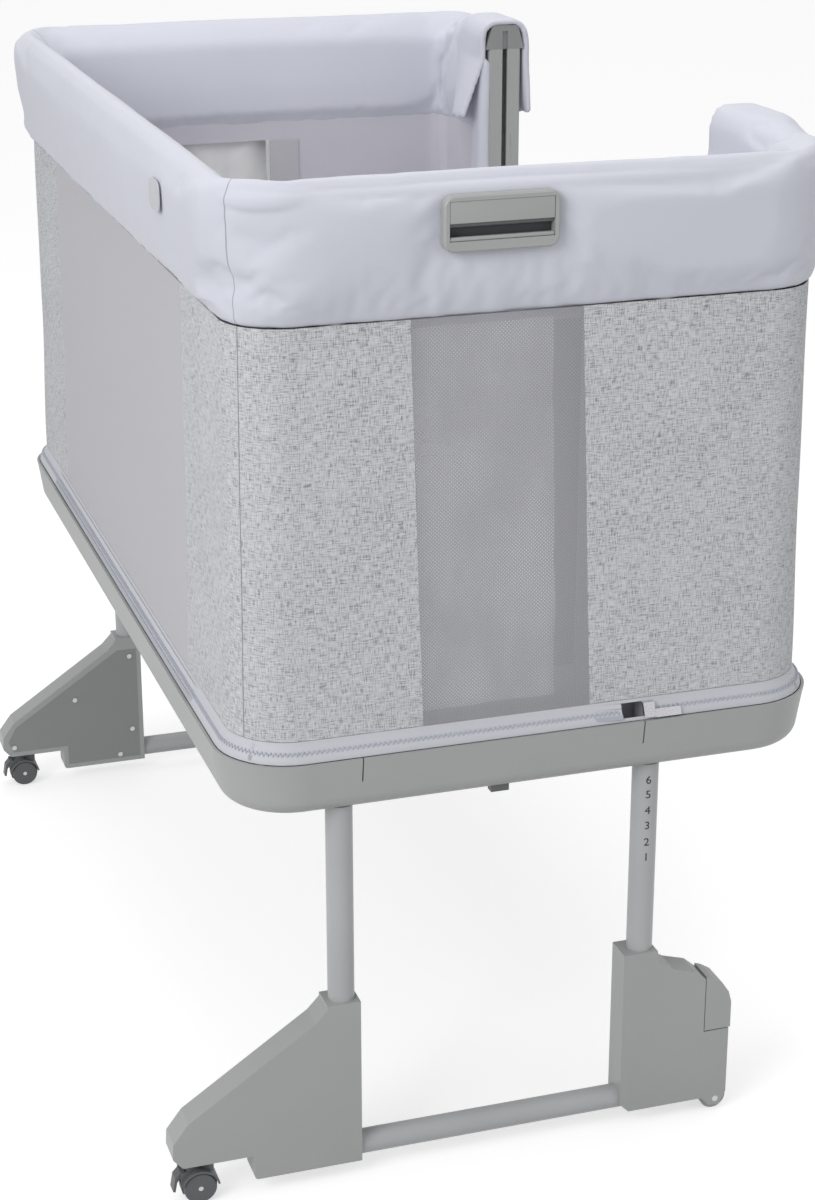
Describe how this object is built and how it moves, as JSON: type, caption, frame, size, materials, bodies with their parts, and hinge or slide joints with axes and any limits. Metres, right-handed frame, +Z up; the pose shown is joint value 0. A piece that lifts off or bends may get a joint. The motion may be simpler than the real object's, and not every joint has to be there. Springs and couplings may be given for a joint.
{
  "type": "bedside sleeper crib",
  "caption": "Bedside crib with a cloth-walled basket over a moulded tray, telescopic legs, braked casters, fold-out feet and a sliding drop side.",
  "frame": {"origin": "on the floor under the middle of the crib's outline", "axes": "+Z up, +Y along the crib's length, +X towards the adult bed (the opening side)"},
  "size_m": [0.8159, 1.332, 1.226],
  "materials": {
    "tray_plastic": "satin grey plastic",
    "foot_plastic": "satin grey plastic",
    "cover_plastic": "fine-textured grey plastic",
    "grip_plastic": "satin grey plastic",
    "dark_plastic": "dark grey plastic",
    "tube_paint": "grey powder coat",
    "steel": "plain steel",
    "wheel_rubber": "grey tread",
    "rim_cloth": "smooth woven polyester",
    "linen_cloth": "heather linen look",
    "mesh_cloth": "open mesh",
    "side_mesh": "fine mesh",
    "lining_cloth": "smooth woven polyester",
    "flap_cloth": "thin white cloth",
    "zip_cloth": "woven zip tape",
    "mattress_cloth": "knitted cover",
    "board": "fibre board"
  },
  "bodies": {
    "basket": {"base_tray": "tray_plastic", "base_frame": "tube_paint", "mattress_board": "board", "mattress": "mattress_cloth", "near_uprights": "tube_paint", "far_uprights": "tube_paint", "post_bushes": "dark_plastic", "rim_tube": "tube_paint", "near_guide_post": "tray_plastic", "far_guide_post": "tray_plastic", "guide_caps": "grip_plastic", "rim_padding": "rim_cloth", "near_handle_bezel": "tray_plastic", "far_handle_bezel": "tray_plastic", "near_linen": "linen_cloth", "far_linen": "linen_cloth", "near_mesh_window": "mesh_cloth", "far_mesh_window": "mesh_cloth", "left_mesh_side": "side_mesh", "inner_lining": "lining_cloth", "near_window_flap": "flap_cloth", "far_window_flap": "flap_cloth", "zip_tape": "zip_cloth", "bed_side_panel": "side_mesh"},
    "near_leg": {"near_post_left": "tube_paint", "near_post_right": "tube_paint", "near_crossbar": "tube_paint", "near_outer_foot": "foot_plastic", "near_outer_cover": "cover_plastic", "near_foot_screws": "steel", "near_bed_foot": "foot_plastic", "near_stabiliser_pin": "steel"},
    "near_stabiliser": {"near_stabiliser": "foot_plastic"},
    "near_caster": {"near_caster_hood": "dark_plastic", "near_caster_axle": "steel"},
    "near_wheels": {"near_caster_wheels": "wheel_rubber"},
    "near_pedal": {"near_brake_pedal": "dark_plastic"},
    "near_grip": {"near_handle_grip": "grip_plastic"},
    "near_latch": {"near_release_latch": "dark_plastic"},
    "far_leg": {"far_post_left": "tube_paint", "far_post_right": "tube_paint", "far_crossbar": "tube_paint", "far_outer_foot": "foot_plastic", "far_outer_cover": "cover_plastic", "far_foot_screws": "steel", "far_bed_foot": "foot_plastic", "far_stabiliser_pin": "steel"},
    "far_stabiliser": {"far_stabiliser": "foot_plastic"},
    "far_caster": {"far_caster_hood": "dark_plastic", "far_caster_axle": "steel"},
    "far_wheels": {"far_caster_wheels": "wheel_rubber"},
    "far_pedal": {"far_brake_pedal": "dark_plastic"},
    "far_grip": {"far_handle_grip": "grip_plastic"},
    "far_latch": {"far_release_latch": "dark_plastic"},
    "drop_side": {"drop_side_rail": "tube_paint", "drop_side_shoes": "dark_plastic", "drop_side_cover": "rim_cloth"},
    "zip_runner": {"zip_slider": "steel"},
    "zip_tab": {"zip_pull": "steel"}
  },
  "joints": [
    {"name": "near_leg_height", "type": "slide", "parent": "basket", "child": "near_leg", "axis": [0, 0, 1], "range_m": [0, 0.102]},
    {"name": "near_stabiliser_fold", "type": "hinge", "parent": "near_leg", "child": "near_stabiliser", "pos_m": [0.292, -0.6216, 0.017], "axis": [0, 1, 0], "range_deg": [0, 90]},
    {"name": "near_caster_swivel", "type": "hinge", "parent": "near_leg", "child": "near_caster", "pos_m": [-0.364, -0.6216, 0.05], "axis": [0, 0, 1], "continuous": true},
    {"name": "near_wheel_spin", "type": "hinge", "parent": "near_caster", "child": "near_wheels", "pos_m": [-0.3746, -0.6216, 0.02], "axis": [0, 1, 0], "continuous": true},
    {"name": "near_brake_pedal_press", "type": "hinge", "parent": "near_caster", "child": "near_pedal", "pos_m": [-0.39324, -0.6216, 0.03864], "axis": [0, -1, 0], "range_deg": [0, 12]},
    {"name": "near_grip_squeeze", "type": "slide", "parent": "basket", "child": "near_grip", "axis": [0, 0, 1], "range_m": [0, 0.008], "stiffness_N_per_m": 600, "springref_m": -0.004},
    {"name": "near_latch_press", "type": "slide", "parent": "basket", "child": "near_latch", "axis": [0, 0, 1], "range_m": [0, 0.005], "stiffness_N_per_m": 600, "springref_m": -0.004},
    {"name": "far_leg_height", "type": "slide", "parent": "basket", "child": "far_leg", "axis": [0, 0, 1], "range_m": [0, 0.102]},
    {"name": "far_stabiliser_fold", "type": "hinge", "parent": "far_leg", "child": "far_stabiliser", "pos_m": [0.292, 0.6216, 0.017], "axis": [0, 1, 0], "range_deg": [0, 90]},
    {"name": "far_caster_swivel", "type": "hinge", "parent": "far_leg", "child": "far_caster", "pos_m": [-0.364, 0.6216, 0.05], "axis": [0, 0, 1], "continuous": true},
    {"name": "far_wheel_spin", "type": "hinge", "parent": "far_caster", "child": "far_wheels", "pos_m": [-0.3746, 0.6216, 0.02], "axis": [0, 1, 0], "continuous": true},
    {"name": "far_brake_pedal_press", "type": "hinge", "parent": "far_caster", "child": "far_pedal", "pos_m": [-0.39324, 0.6216, 0.03864], "axis": [0, -1, 0], "range_deg": [0, 12]},
    {"name": "far_grip_squeeze", "type": "slide", "parent": "basket", "child": "far_grip", "axis": [0, 0, 1], "range_m": [0, 0.008], "stiffness_N_per_m": 600, "springref_m": -0.004},
    {"name": "far_latch_press", "type": "slide", "parent": "basket", "child": "far_latch", "axis": [0, 0, 1], "range_m": [0, 0.005], "stiffness_N_per_m": 600, "springref_m": -0.004},
    {"name": "drop_side_lift", "type": "slide", "parent": "basket", "child": "drop_side", "axis": [0, 0, 1], "range_m": [0, 0.55], "deforming": ["bed_side_panel"]},
    {"name": "zip_travel", "type": "slide", "parent": "basket", "child": "zip_runner", "axis": [1, 0, 0], "range_m": [-0.38, 0.08]},
    {"name": "zip_tab_swing", "type": "hinge", "parent": "zip_runner", "child": "zip_tab", "pos_m": [0.1831, -0.65741, 0.5695], "axis": [0, -0.4321, -0.9018], "range_deg": [0, 150]}
  ]
}
